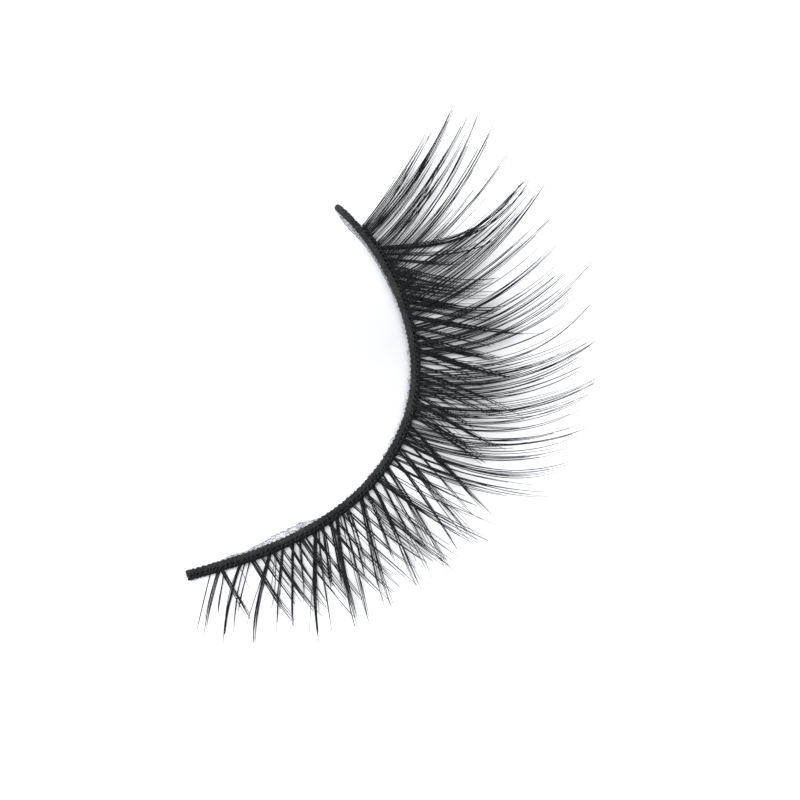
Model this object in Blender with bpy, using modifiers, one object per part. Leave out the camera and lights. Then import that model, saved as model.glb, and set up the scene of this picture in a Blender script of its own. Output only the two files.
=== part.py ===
"""False eyelash strip: a knotted cotton band with two crossing rows of hair locks.

The strip lies flat on its band. The band's chord runs along X, with the inner corner of the
eye at -X and the outer corner at +X. The lashes point towards -Y and curl up towards +Z.
The origin is under the middle of the cotton band, on the surface that the strip lies on.
"""
import functools
import math

import bmesh
import bpy
import numpy as np

MM = 0.001

# Cotton band
BAND_LENGTH = 35.6 * MM
BAND_WIDTH = 0.44 * MM
BAND_EDGE_ROUND = 0.05 * MM
BAND_STATIONS = 72
CUT_EDGE_DEGREES = 60
SHADING_DEGREES = 40

# Root threads that the locks are knotted on, one for each row, as long as the band
THREAD_DIAMETER = 0.20 * MM
THREAD_STATIONS = 60
ROOT_COVER = 0.01 * MM
WELD_DISTANCE = 0.001 * MM
SEAT_CLEARANCE = 0.03 * MM
ROW_CLEARANCE = 0.05 * MM

# Lashes
LONG_REACH = 12.0 * MM
CROSS_REACH = 12.0 * MM
FLAT_REACH = 2.0 * MM
CURL_RADIUS = 13.0 * MM
STEEPEST_CURL = 0.97
HAIRS_ALONG_BAND = 650
TIP_WIDTH = 0.09 * MM
TIP_THICKNESS = 0.06 * MM
LOCK_STATIONS = 10

# A lock's section: half widths across it, each at the lock's underside (0) or top (1)
LOCK_SECTION = [(-1.0, 0), (1.0, 0), (0.6, 1), (-0.6, 1)]

# Dried glue left on the band
GLUE_THICKNESS = 0.12 * MM
GLUE_CLEARANCE = 0.03 * MM
INNER_GLUE_WIDTH = 0.50 * MM
OUTER_GLUE_WIDTH = 0.34 * MM

# The band's course: share of its length, heading in degrees from +X
BAND_COURSE = [
    (0.0, -52),
    (0.1, -50),
    (0.2, -42),
    (0.3, -32),
    (0.4, -17),
    (0.5, -2),
    (0.6, 16),
    (0.7, 32),
    (0.8, 43),
    (0.9, 54),
    (1.0, 67),
]

# Locks of the upper row, from the inner corner outwards. root is the share of the band where a
# lock starts and reach the share of LONG_REACH that it spans. Along the lock its share of the band
# drifts by lean evenly and by sweep towards the tip. hairs sets how broad its root is.
LONG_LOCKS = [
    # root, reach, lean, sweep, hairs
    (0.068, 0.34, 0.020, 0.000, 10),
    (0.128, 0.42, 0.029, 0.000, 9),
    (0.155, 0.37, 0.021, 0.000, 3),
    (0.175, 0.48, 0.020, 0.000, 8),
    (0.200, 0.47, 0.016, 0.000, 5),
    (0.228, 0.54, 0.010, 0.000, 7),
    (0.250, 0.53, 0.012, 0.000, 5),
    (0.265, 0.58, 0.018, 0.000, 6),
    (0.285, 0.56, 0.010, 0.000, 5),
    (0.305, 0.60, 0.015, 0.000, 6),
    (0.330, 0.61, 0.011, 0.000, 6),
    (0.352, 0.69, 0.008, 0.000, 10),
    (0.372, 0.69, 0.000, 0.000, 11),
    (0.412, 0.72, 0.008, 0.000, 12),
    (0.448, 0.72, 0.022, 0.000, 5),
    (0.465, 0.94, 0.022, 0.003, 7),
    (0.480, 0.97, 0.008, 0.028, 13),
    (0.498, 0.92, 0.012, 0.023, 6),
    (0.514, 0.96, 0.015, 0.021, 6),
    (0.527, 0.93, 0.010, 0.024, 5),
    (0.546, 0.94, 0.010, 0.026, 7),
    (0.561, 0.98, 0.006, 0.030, 12),
    (0.576, 0.84, 0.000, 0.024, 2),
    (0.592, 0.94, 0.000, 0.040, 13),
    (0.612, 0.96, 0.005, 0.040, 8),
    (0.630, 0.92, 0.000, 0.045, 5),
    (0.648, 0.75, 0.000, 0.020, 3),
    (0.663, 0.98, 0.000, 0.041, 8),
    (0.684, 0.89, 0.000, 0.038, 8),
    (0.700, 0.89, 0.000, 0.040, 6),
    (0.716, 0.88, 0.000, 0.042, 10),
    (0.742, 0.83, 0.000, 0.055, 6),
    (0.760, 0.77, 0.000, 0.035, 4),
    (0.785, 0.83, 0.005, 0.032, 12),
    (0.815, 0.85, 0.010, 0.030, 10),
    (0.828, 0.91, 0.070, -0.004, 2),
    (0.850, 0.90, 0.082, -0.002, 11),
    (0.873, 0.86, 0.082, 0.000, 9),
    (0.895, 0.83, 0.076, -0.012, 8),
    (0.921, 0.83, 0.062, -0.002, 13),
    (0.938, 0.67, 0.054, -0.008, 11),
]

# Locks of the lower row, which lean across the others towards the inner corner.
# reach is a share of CROSS_REACH.
CROSS_LOCKS = [
    # root, reach, lean, sweep, hairs
    (0.050, 0.30, -0.080, 0.015, 3),
    (0.064, 0.33, -0.085, 0.022, 8),
    (0.076, 0.22, -0.040, 0.005, 2),
    (0.104, 0.42, -0.100, 0.030, 9),
    (0.123, 0.37, -0.085, 0.018, 5),
    (0.165, 0.49, -0.125, 0.042, 13),
    (0.188, 0.50, -0.085, 0.015, 5),
    (0.207, 0.55, -0.085, 0.010, 7),
    (0.255, 0.61, -0.130, 0.045, 14),
    (0.270, 0.59, -0.110, 0.022, 5),
    (0.303, 0.64, -0.115, 0.042, 12),
    (0.318, 0.66, -0.080, 0.012, 2),
    (0.362, 0.65, -0.125, 0.040, 14),
    (0.388, 0.65, -0.090, 0.012, 5),
    (0.396, 0.71, -0.085, 0.014, 7),
    (0.433, 0.73, -0.110, 0.032, 11),
    (0.480, 0.69, -0.105, 0.028, 12),
    (0.525, 0.68, -0.120, 0.036, 13),
    (0.557, 0.55, -0.050, 0.010, 9),
    (0.600, 0.46, -0.045, 0.010, 11),
    (0.690, 0.50, -0.100, 0.028, 13),
    (0.705, 0.84, -0.150, 0.092, 7),
    (0.735, 0.96, -0.170, 0.140, 12),
    (0.775, 0.88, -0.110, 0.090, 11),
    (0.820, 0.82, -0.130, 0.107, 9),
    (0.860, 0.83, -0.120, 0.085, 12),
    (0.895, 0.84, -0.180, 0.140, 14),
]

# Glue films: share of the band, width as a share of the film's named width
INNER_GLUE = [
    (0.070, 0.15),
    (0.095, 0.45),
    (0.115, 0.30),
    (0.140, 0.55),
    (0.165, 0.75),
    (0.190, 1.00),
    (0.215, 0.90),
    (0.235, 0.95),
    (0.255, 0.55),
    (0.275, 0.15),
]
OUTER_GLUE = [
    (0.790, 0.15),
    (0.815, 0.35),
    (0.840, 0.45),
    (0.870, 0.40),
    (0.900, 0.60),
    (0.930, 1.00),
    (0.955, 0.90),
    (0.975, 0.55),
    (0.990, 0.20),
]
GLUE_STATIONS = 40

# Colour, roughness and opacity of each material
FINISHES = {
    "black_cotton": ((0.012, 0.012, 0.015), 0.75, 1.0),
    "black_fibre": ((0.010, 0.010, 0.013), 0.42, 1.0),
    "clear_glue": ((0.86, 0.87, 0.90), 0.18, 0.45),
}

COURSE_SAMPLES = 400


def table_curve(table, share):
    """Value of a two-column table at a share, on a smooth curve through its rows."""
    shares = np.array([row[0] for row in table], dtype=float)
    values = np.array([row[1] for row in table], dtype=float)
    slopes = np.gradient(values, shares)
    share = np.clip(np.asarray(share, dtype=float), shares[0], shares[-1])
    row = np.clip(np.searchsorted(shares, share, side="right") - 1, 0, len(shares) - 2)
    span = shares[row + 1] - shares[row]
    t = (share - shares[row]) / span
    start = (2 * t**3 - 3 * t**2 + 1) * values[row] + (t**3 - 2 * t**2 + t) * span * slopes[row]
    finish = (3 * t**2 - 2 * t**3) * values[row + 1] + (t**3 - t**2) * span * slopes[row + 1]
    return start + finish


@functools.lru_cache(maxsize=None)
def band_course():
    """Points along the middle of the band, its mid-length at the origin."""
    shares = np.linspace(0, 1, COURSE_SAMPLES + 1)
    heading = np.radians(table_curve(BAND_COURSE, (shares[1:] + shares[:-1]) / 2))
    steps = np.column_stack([np.cos(heading), np.sin(heading)]) * BAND_LENGTH / COURSE_SAMPLES
    points = np.vstack([np.zeros(2), np.cumsum(steps, axis=0)])
    return shares, points - points[COURSE_SAMPLES // 2]


def band_frame(share):
    """Point, direction along the band and direction towards the lash tips at a share.

    Past its ends the course goes straight on, for locks that sweep beyond them.
    """
    inside = min(max(share, 0.0), 1.0)
    heading = math.radians(float(table_curve(BAND_COURSE, inside)))
    along = np.array([math.cos(heading), math.sin(heading)])
    outward = np.array([along[1], -along[0]])
    shares, points = band_course()
    point = np.array([np.interp(inside, shares, points[:, axis]) for axis in (0, 1)])
    return point + along * (share - inside) * BAND_LENGTH, along, outward


def curl_height(distance):
    """How high the lashes have curled at a distance from the middle of the band."""
    past_flat = min(max(distance - FLAT_REACH, 0.0), STEEPEST_CURL * CURL_RADIUS)
    return CURL_RADIUS - math.sqrt(CURL_RADIUS**2 - past_flat**2)


def row_height():
    """Height of a row of locks at its roots, where the hair wraps the thread."""
    return THREAD_DIAMETER + 2 * ROOT_COVER


def long_row_floor():
    return row_height() + ROW_CLEARANCE


def band_height():
    """The band is as tall as the two rows that it holds."""
    return long_row_floor() + row_height()


def thread_offset():
    """Distance from the middle of the band to the middle of the root threads."""
    return BAND_WIDTH / 2 + SEAT_CLEARANCE + THREAD_DIAMETER / 2


def link(obj, collection):
    collection.objects.link(obj)
    return obj


def material(name):
    colour, roughness, opacity = FINISHES[name]
    found = bpy.data.materials.get(name) or bpy.data.materials.new(name)
    found.use_nodes = True
    shader = found.node_tree.nodes["Principled BSDF"]
    shader.inputs["Base Color"].default_value = (*colour, 1.0)
    shader.inputs["Roughness"].default_value = roughness
    shader.inputs["Metallic"].default_value = 0.0
    shader.inputs["Alpha"].default_value = opacity
    return found


def flat_ribbon(name, shares, near_edge, far_edge, floor, collection):
    """Open flat surface beside the band, between two lists of distances from its middle."""
    mesh = bpy.data.meshes.new(name)
    build = bmesh.new()
    rails = []
    for share, near, far in zip(shares, near_edge, far_edge):
        point, _, outward = band_frame(share)
        rails.append([build.verts.new((*(point + outward * edge), floor)) for edge in (near, far)])
    for (near_a, far_a), (near_b, far_b) in zip(rails, rails[1:]):
        build.faces.new((near_a, far_a, far_b, near_b))
    for face in build.faces:
        face.normal_update()
        if face.normal.z < 0:
            face.normal_flip()
    build.to_mesh(mesh)
    build.free()
    return link(bpy.data.objects.new(name, mesh), collection)


def thicken(obj, thickness):
    solid = obj.modifiers.new("thickness", "SOLIDIFY")
    solid.thickness = thickness
    solid.offset = 1.0
    solid.use_even_offset = False


def round_edges(obj, width):
    bevel = obj.modifiers.new("rounded edges", "BEVEL")
    bevel.width = width
    bevel.segments = 1
    bevel.limit_method = "ANGLE"
    bevel.angle_limit = math.radians(CUT_EDGE_DEGREES)


def shade_round(mesh):
    mesh.shade_smooth()
    mesh.set_sharp_from_angle(angle=math.radians(SHADING_DEGREES))


def cotton_band(collection):
    """The flat knotted strip, square where it is cut at the inner corner."""
    shares = np.linspace(0, 1, BAND_STATIONS + 1)
    half = BAND_WIDTH / 2
    near = [-half] * len(shares)
    far = [half] * len(shares)
    band = flat_ribbon("cotton_band", shares, near, far, 0.0, collection)
    thicken(band, band_height())
    round_edges(band, BAND_EDGE_ROUND)
    band.data.materials.append(material("black_cotton"))
    shade_round(band.data)
    return band


def root_thread(name, floor, collection):
    """Round thread beside the band, as a curve with a bevel, made a mesh to be joined."""
    curve = bpy.data.curves.new(name, "CURVE")
    curve.dimensions = "3D"
    curve.bevel_depth = THREAD_DIAMETER / 2
    curve.bevel_resolution = 1
    curve.use_fill_caps = True
    spline = curve.splines.new("POLY")
    spline.points.add(THREAD_STATIONS)
    height = floor + row_height() / 2
    for index, share in enumerate(np.linspace(0, 1, THREAD_STATIONS + 1)):
        point, _, outward = band_frame(share)
        spline.points[index].co = (*(point + outward * thread_offset()), height, 1.0)
    drawn = link(bpy.data.objects.new(name + "_curve", curve), collection)
    bpy.context.view_layer.update()
    evaluated = drawn.evaluated_get(bpy.context.evaluated_depsgraph_get())
    mesh = bpy.data.meshes.new_from_object(evaluated)
    build = bmesh.new()
    build.from_mesh(mesh)
    bmesh.ops.remove_doubles(build, verts=build.verts, dist=WELD_DISTANCE)
    bmesh.ops.recalc_face_normals(build, faces=build.faces)
    build.to_mesh(mesh)
    build.free()
    thread = link(bpy.data.objects.new(name, mesh), collection)
    thread.matrix_world = drawn.matrix_world
    bpy.data.objects.remove(drawn)
    return thread


def lock_station(row, longest, step):
    """Plan point, distance from the band's middle and direction along the band, part-way along."""
    root, reach, lean, sweep, _ = row
    point, along, outward = band_frame(root + lean * step + sweep * step**2)
    distance = thread_offset() + (reach * longest - thread_offset()) * step
    return point + outward * distance, distance, along


def hair_lock(name, row, longest, floor, collection):
    """Closed tapering lock, curling upwards: a flat bundle at its root, a point at its tip.

    Its sections lie along the band, so the whole root is seated in the thread.
    """
    root_width = TIP_WIDTH + row[4] * BAND_LENGTH / HAIRS_ALONG_BAND
    build = bmesh.new()
    rings = []
    for step in np.linspace(0, 1, LOCK_STATIONS):
        point, distance, along = lock_station(row, longest, step)
        width = root_width + (TIP_WIDTH - root_width) * step
        thickness = row_height() + (TIP_THICKNESS - row_height()) * step
        ring = []
        for side, lift in LOCK_SECTION:
            height = floor + curl_height(distance) + lift * thickness
            ring.append(build.verts.new((*(point + along * side * width / 2), height)))
        rings.append(ring)
    for ring, following in zip(rings, rings[1:]):
        for corner in range(len(ring)):
            beside = (corner + 1) % len(ring)
            build.faces.new((ring[corner], ring[beside], following[beside], following[corner]))
    build.faces.new(rings[0])
    build.faces.new(rings[-1])
    bmesh.ops.triangulate(build, faces=build.faces)
    bmesh.ops.recalc_face_normals(build, faces=build.faces)
    mesh = bpy.data.meshes.new(name)
    build.to_mesh(mesh)
    build.free()
    lock = link(bpy.data.objects.new(name, mesh), collection)
    lock.hide_render = True
    lock.display_type = "WIRE"


def fringe(name, table, longest, floor, collection, cutters):
    """A row of locks fused to the thread that their roots are knotted on."""
    body = root_thread(name, floor, collection)
    locks = bpy.data.collections.new(name + "_locks")
    cutters.children.link(locks)
    for number, row in enumerate(table):
        hair_lock(f"{name}_lock_{number}", row, longest, floor, locks)
    fused = body.modifiers.new("fused locks", "BOOLEAN")
    fused.operation = "UNION"
    fused.operand_type = "COLLECTION"
    fused.collection = locks
    fused.solver = "EXACT"
    fused.use_self = True
    body.data.materials.append(material("black_fibre"))
    shade_round(body.data)
    return body


def glue_film(name, table, widest, collection):
    """Thin clear film that has dried along the band's concave edge."""
    shares = np.linspace(table[0][0], table[-1][0], GLUE_STATIONS + 1)
    seat = -(BAND_WIDTH / 2 + GLUE_CLEARANCE)
    near = [seat] * len(shares)
    far = [seat - widest * float(table_curve(table, share)) for share in shares]
    film = flat_ribbon(name, shares, far, near, 0.0, collection)
    thicken(film, GLUE_THICKNESS)
    film.data.materials.append(material("clear_glue"))
    shade_round(film.data)
    return film


def clear_scene():
    for obj in list(bpy.data.objects):
        bpy.data.objects.remove(obj, do_unlink=True)


def main():
    clear_scene()
    parts = bpy.data.collections.new("false_eyelash_strip")
    cutters = bpy.data.collections.new("lash_cutters")
    for collection in (parts, cutters):
        bpy.context.scene.collection.children.link(collection)
    cotton_band(parts)
    fringe("cross_lash_fringe", CROSS_LOCKS, CROSS_REACH, 0.0, parts, cutters)
    fringe("long_lash_fringe", LONG_LOCKS, LONG_REACH, long_row_floor(), parts, cutters)
    glue_film("inner_glue_film", INNER_GLUE, INNER_GLUE_WIDTH, parts)
    glue_film("outer_glue_film", OUTER_GLUE, OUTER_GLUE_WIDTH, parts)


main()
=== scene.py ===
# %% [markdown]
# # A false eyelash strip
#
# A strip lash is a curved cotton band, about as long as the edge of an eyelid, with hundreds of
# fine fibres knotted to its outer edge. The CAD model holds the true sizes: a flat band, and two
# rows of solid locks that cross each other. This lesson dresses that frame. It grows single hairs
# along the same paths, braids the band, dries some glue on it, and lights it on a white table.

import math

import bmesh
import bpy
import numpy as np
from mathutils import Matrix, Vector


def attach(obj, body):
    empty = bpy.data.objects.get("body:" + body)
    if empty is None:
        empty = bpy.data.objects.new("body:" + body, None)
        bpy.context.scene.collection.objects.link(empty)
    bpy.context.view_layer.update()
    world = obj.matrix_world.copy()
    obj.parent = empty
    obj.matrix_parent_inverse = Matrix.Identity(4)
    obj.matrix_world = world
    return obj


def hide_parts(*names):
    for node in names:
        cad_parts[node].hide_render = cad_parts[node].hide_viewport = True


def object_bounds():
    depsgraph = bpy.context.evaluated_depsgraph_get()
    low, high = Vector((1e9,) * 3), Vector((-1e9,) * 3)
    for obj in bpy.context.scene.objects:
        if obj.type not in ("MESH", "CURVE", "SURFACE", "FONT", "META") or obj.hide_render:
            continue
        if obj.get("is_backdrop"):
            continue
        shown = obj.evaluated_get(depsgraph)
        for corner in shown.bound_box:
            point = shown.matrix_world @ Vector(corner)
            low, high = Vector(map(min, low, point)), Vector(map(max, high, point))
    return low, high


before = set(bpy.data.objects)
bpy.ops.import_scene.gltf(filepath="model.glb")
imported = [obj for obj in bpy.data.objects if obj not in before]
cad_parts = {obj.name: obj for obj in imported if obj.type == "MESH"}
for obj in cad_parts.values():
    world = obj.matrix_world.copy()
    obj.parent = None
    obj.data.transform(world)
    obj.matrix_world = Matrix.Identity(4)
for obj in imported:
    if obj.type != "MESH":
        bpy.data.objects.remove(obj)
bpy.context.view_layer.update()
print("CAD nodes:", sorted(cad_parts))

# %% [markdown]
# ## Sizes that the scene shares with the CAD
#
# The band is a crescent whose direction is known at eleven places along it. A smooth curve through
# those directions, walked in small steps, gives the band's course. The same named sizes as in the
# CAD are used, so that every hair starts on the band and stays in the solid that it dresses.

# %% Named sizes
MM = 0.001
BAND_LENGTH = 35.6 * MM
BAND_WIDTH = 0.44 * MM
THREAD_DIAMETER = 0.20 * MM
ROOT_COVER = 0.01 * MM
SEAT_CLEARANCE = 0.03 * MM
ROW_CLEARANCE = 0.05 * MM
LONG_REACH = 12.0 * MM
CROSS_REACH = 12.0 * MM
FLAT_REACH = 2.0 * MM
CURL_RADIUS = 13.0 * MM
STEEPEST_CURL = 0.97
TIP_THICKNESS = 0.06 * MM

ROW_HEIGHT = THREAD_DIAMETER + 2 * ROOT_COVER
LONG_ROW_FLOOR = ROW_HEIGHT + ROW_CLEARANCE
BAND_HEIGHT = LONG_ROW_FLOOR + ROW_HEIGHT
THREAD_OFFSET = BAND_WIDTH / 2 + SEAT_CLEARANCE + THREAD_DIAMETER / 2

# Share of the band's length, heading in degrees from +X
BAND_COURSE = [
    (0.0, -52),
    (0.1, -50),
    (0.2, -42),
    (0.3, -32),
    (0.4, -17),
    (0.5, -2),
    (0.6, 16),
    (0.7, 32),
    (0.8, 43),
    (0.9, 54),
    (1.0, 67),
]
COURSE_SAMPLES = 400
print("band height in mm:", round(BAND_HEIGHT / MM, 3))

# %% [markdown]
# ## Walk along the band
#
# Every hair, yarn and drop of glue is placed by its share of the band's length and its distance
# from the band's middle line. The band could be a curve object with everything parented to it, but
# a few short functions give points on it at once for whole arrays of shares.

# %% Walk along the band


def table_curve(table, share):
    """Value of a two-column table at a share, on a smooth curve through its rows."""
    shares, values = np.array(table, dtype=float).T
    slopes = np.gradient(values, shares)
    share = np.clip(np.asarray(share, dtype=float), shares[0], shares[-1])
    row = np.clip(np.searchsorted(shares, share, side="right") - 1, 0, len(shares) - 2)
    span = shares[row + 1] - shares[row]
    t = (share - shares[row]) / span
    start = (2 * t**3 - 3 * t**2 + 1) * values[row]
    leave = (t**3 - 2 * t**2 + t) * span * slopes[row]
    finish = (3 * t**2 - 2 * t**3) * values[row + 1]
    arrive = (t**3 - t**2) * span * slopes[row + 1]
    return start + leave + (finish + arrive)


def band_course():
    """Points along the middle of the band, its mid-length at the origin."""
    shares = np.linspace(0, 1, COURSE_SAMPLES + 1)
    heading = np.radians(table_curve(BAND_COURSE, (shares[1:] + shares[:-1]) / 2))
    steps = np.column_stack([np.cos(heading), np.sin(heading)]) * BAND_LENGTH / COURSE_SAMPLES
    points = np.vstack([np.zeros(2), np.cumsum(steps, axis=0)])
    return shares, points - points[COURSE_SAMPLES // 2]


COURSE_SHARES, COURSE_POINTS = band_course()


def band_frame(share):
    """Plan point, direction along the band and direction towards the lash tips, at shares."""
    share = np.asarray(share, dtype=float)
    inside = np.clip(share, 0, 1)
    heading = np.radians(table_curve(BAND_COURSE, inside))
    along = np.stack([np.cos(heading), np.sin(heading)], axis=-1)
    outward = np.stack([along[..., 1], -along[..., 0]], axis=-1)
    point = np.stack(
        [np.interp(inside, COURSE_SHARES, COURSE_POINTS[:, axis]) for axis in (0, 1)], axis=-1)
    return point + along * ((share - inside) * BAND_LENGTH)[..., None], along, outward


def place(share, distance, height):
    """Points at a share of the band, a distance from its middle line and a height."""
    point, _, outward = band_frame(share)
    plan = point + outward * np.asarray(distance)[..., None]
    return np.concatenate([plan, np.broadcast_to(height, plan.shape[:-1])[..., None]], axis=-1)


def curl_height(distance):
    """How high the lashes have curled at a distance from the middle of the band."""
    past_flat = np.clip(distance - FLAT_REACH, 0, STEEPEST_CURL * CURL_RADIUS)
    return CURL_RADIUS - np.sqrt(CURL_RADIUS**2 - past_flat**2)


print("band ends in mm:", (COURSE_POINTS[[0, -1]] / MM).round(2).tolist())

# %% [markdown]
# ## Camera
#
# The photo looks almost straight down, from 70 degrees above the table, with the strip turned so
# that its inner corner is at the lower left. A long lens from far away keeps the two ends at the
# same scale, as in the photo. The camera comes first, because every later choice is judged in it.

# %% Camera
CAMERA_AZIMUTH = math.radians(-68.6)
CAMERA_ELEVATION = math.radians(70)
CAMERA_DISTANCE = 222 * MM
LENS_MM = 150
SENSOR_MM = 36
AIM_RIGHT = 0.01 * MM
AIM_UP = 2.37 * MM
NEAREST_SEEN = 1 * MM
FARTHEST_SEEN = 10000 * MM


def add_camera():
    """A long lens that looks down on the strip from the photo's side."""
    right = np.array([math.cos(CAMERA_AZIMUTH), math.sin(CAMERA_AZIMUTH), 0.0])
    level = math.cos(CAMERA_ELEVATION)
    back = np.array([
        math.sin(CAMERA_AZIMUTH) * level,
        -math.cos(CAMERA_AZIMUTH) * level,
        math.sin(CAMERA_ELEVATION),
    ])
    up = np.cross(back, right)
    eye = back * CAMERA_DISTANCE + right * AIM_RIGHT + up * AIM_UP
    data = bpy.data.cameras.new("photo_camera")
    data.lens = LENS_MM
    data.sensor_width = SENSOR_MM
    data.clip_start = NEAREST_SEEN
    data.clip_end = FARTHEST_SEEN
    camera = bpy.data.objects.new("photo_camera", data)
    columns = np.column_stack([right, up, back, eye])
    camera.matrix_world = Matrix([*columns.tolist(), (0, 0, 0, 1)])
    bpy.context.scene.collection.objects.link(camera)
    bpy.context.scene.camera = camera
    return camera


camera = add_camera()
print("camera at mm:", [round(value / MM, 1) for value in camera.matrix_world.translation])

# %% [markdown]
# ## Node materials
#
# Every finish here is made of shader nodes, with no pictures. A small helper adds a node, sets its
# sockets by name and links it, so that each material below reads as a short recipe. The nodes could
# be placed by hand in the Shader Editor, but a recipe is the same in every run.

# %% Material helper
# Sockets of the Mix node when it mixes colours
MIX_FACTOR = 0
MIX_FIRST = 6
MIX_SECOND = 7
MIX_RESULT = 2


class Recipe:
    """A node material that is built step by step."""

    def __init__(self, name):
        self.material = bpy.data.materials.new(name)
        self.material.use_nodes = True
        self.nodes = self.material.node_tree.nodes
        self.links = self.material.node_tree.links
        self.shader = self.nodes["Principled BSDF"]

    def add(self, kind, sockets=None, **settings):
        """A new node with its settings, its sockets fed by name or by number."""
        node = self.nodes.new("ShaderNode" + kind)
        for key, value in settings.items():
            setattr(node, key, value)
        for key, value in (sockets or {}).items():
            self.feed(node.inputs[key], value)
        return node

    def feed(self, socket, value):
        """Link a socket to another node's output, or set its number."""
        if isinstance(value, bpy.types.NodeSocket):
            self.links.new(value, socket)
        else:
            socket.default_value = value

    def math(self, operation, first, second):
        """The result of a sum, product or the like."""
        return self.add("Math", {0: first, 1: second}, operation=operation).outputs["Value"]

    def ramp(self, factor, stops):
        """Colours or greys between named places along a factor."""
        node = self.add("ValToRGB", {"Fac": factor})
        elements = node.color_ramp.elements
        while len(elements) < len(stops):
            elements.new(0.5)
        for element, (position, colour) in zip(elements, stops):
            if not isinstance(colour, tuple):
                colour = (colour, colour, colour)
            element.position = position
            element.color = (*colour, 1.0)
        return node.outputs["Color"]

    def blend(self, factor, first, second):
        """The first colour where the factor is 0, and the second where it is 1."""
        sockets = {MIX_FACTOR: factor, MIX_FIRST: first, MIX_SECOND: (*second, 1.0)}
        return self.add("Mix", sockets, data_type="RGBA").outputs[MIX_RESULT]

    def noise(self, vector, scale, detail=3.0, roughness=0.6):
        """Cloudy noise from 0 to 1."""
        sockets = {"Vector": vector, "Scale": scale, "Detail": detail, "Roughness": roughness}
        return self.add("TexNoise", sockets).outputs["Fac"]

    def bump(self, height, distance):
        """Small relief, as deep as distance where the height is 1."""
        node = self.add("Bump", {"Height": height, "Distance": distance, "Strength": 1.0})
        self.links.new(node.outputs["Normal"], self.shader.inputs["Normal"])

    def set(self, **sockets):
        """Feed the shader's own sockets; an underscore stands for a space in a socket's name."""
        for key, value in sockets.items():
            self.feed(self.shader.inputs[key.replace("_", " ")], value)


print("a recipe can:", [name for name in vars(Recipe) if not name.startswith("_")])

# %% [markdown]
# ### Lash fibre
#
# The lashes are black synthetic fibre: nearly black with a cool cast, smooth along its length, with
# a soft sheen and no hard gloss. One flat black would be quicker, but crossing hairs would melt
# into one shape. So each hair has its own number in the first UV column, and its tone differs a
# little from its neighbours. The second column runs from root to tip.

# %% Fibre material
FIBRE_BLACK = (0.0060, 0.0066, 0.0085)
FIBRE_SOFT_BLACK = (0.0130, 0.0140, 0.0175)
FIBRE_TIP = (0.0160, 0.0165, 0.0190)
FIBRE_TIP_FROM = 0.75
FIBRE_STREAKS = 14000
FIBRE_SMOOTH = 0.42
FIBRE_ROUGH = 0.58
FIBRE_SHINE = 0.12
FIBRE_RELIEF = 0.003 * MM


def lash_fibre():
    """Black fibre whose tone differs from hair to hair and lightens towards the tip."""
    recipe = Recipe("black_lash_fibre")
    uv = recipe.add("UVMap", uv_map="hair_and_length")
    axes = recipe.add("SeparateXYZ", {"Vector": uv.outputs["UV"]})
    tone = recipe.add("TexWhiteNoise", {"W": axes.outputs["X"]}, noise_dimensions="1D")
    body = recipe.ramp(tone.outputs["Value"], [(0.0, FIBRE_BLACK), (1.0, FIBRE_SOFT_BLACK)])
    tip = recipe.ramp(axes.outputs["Y"], [(FIBRE_TIP_FROM, 0.0), (1.0, 1.0)])
    recipe.set(Base_Color=recipe.blend(tip, body, FIBRE_TIP))
    place_on_part = recipe.add("TexCoord").outputs["Object"]
    streak = recipe.noise(place_on_part, FIBRE_STREAKS)
    recipe.set(Roughness=recipe.ramp(streak, [(0.3, FIBRE_SMOOTH), (0.7, FIBRE_ROUGH)]))
    recipe.bump(streak, FIBRE_RELIEF)
    recipe.set(Specular_IOR_Level=FIBRE_SHINE)
    return recipe.material


fibre_material = lash_fibre()
print("material:", fibre_material.name, "with", len(fibre_material.node_tree.nodes), "nodes")

# %% [markdown]
# ## Fibres as tubes
#
# A hair, a yarn and a loop of thread are all the same thing to a modeller: a tube that follows a
# path and changes its thickness. Blender's curve objects with a bevel could do it, one by one. One
# helper sweeps many such tubes at once with numpy arrays, which takes well under a second for
# hundreds of hairs. Every tube is closed at both ends.

# %% Sweep tubes
UP = np.array([0.0, 0.0, 1.0])


def unit(vectors):
    return vectors / np.linalg.norm(vectors, axis=-1, keepdims=True)


def tube_faces(tubes, stations, sides):
    """Quads round each tube, and one face at each of its ends."""
    index = np.arange(tubes * stations * sides).reshape(tubes, stations, sides)
    beside = np.roll(index, -1, axis=2)
    quads = np.stack([index[:, :-1], beside[:, :-1], beside[:, 1:], index[:, 1:]], axis=-1)
    ends = np.concatenate([index[:, 0, ::-1], index[:, -1]])
    return quads.reshape(-1, 4), ends


def sweep_tubes(paths, radii, sides, guide):
    """Points of tubes along paths of shape (tubes, stations, 3).

    guide is a direction that is never along a path, from which each section's sides are counted.
    """
    tangent = unit(np.gradient(paths, axis=1))
    side = unit(np.cross(tangent, np.broadcast_to(guide, paths.shape)))
    lift = np.cross(side, tangent)
    angle = np.linspace(0, 2 * math.pi, sides, endpoint=False)[:, None]
    ring = np.cos(angle) * side[..., None, :] + np.sin(angle) * lift[..., None, :]
    points = paths[..., None, :] + ring * radii[..., None, None]
    return points.reshape(-1, 3)


sample_quads, sample_ends = tube_faces(tubes=1, stations=3, sides=4)
print("a tube of 3 stations and 4 sides:", len(sample_quads), "quads,", len(sample_ends), "ends")

# %% [markdown]
# ### Gather the tubes in one mesh
#
# Hundreds of objects would make the scene slow and hard to handle. So all the hairs of a row go
# into one mesh, and the UV marks still tell one hair from the next.

# %% Mesh helpers


def mesh_object(name, points, faces, material):
    """A new object in the scene, from points and faces."""
    mesh = bpy.data.meshes.new(name)
    mesh.from_pydata(points, [], faces)
    mesh.materials.append(material)
    obj = bpy.data.objects.new(name, mesh)
    bpy.context.scene.collection.objects.link(obj)
    return obj


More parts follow.
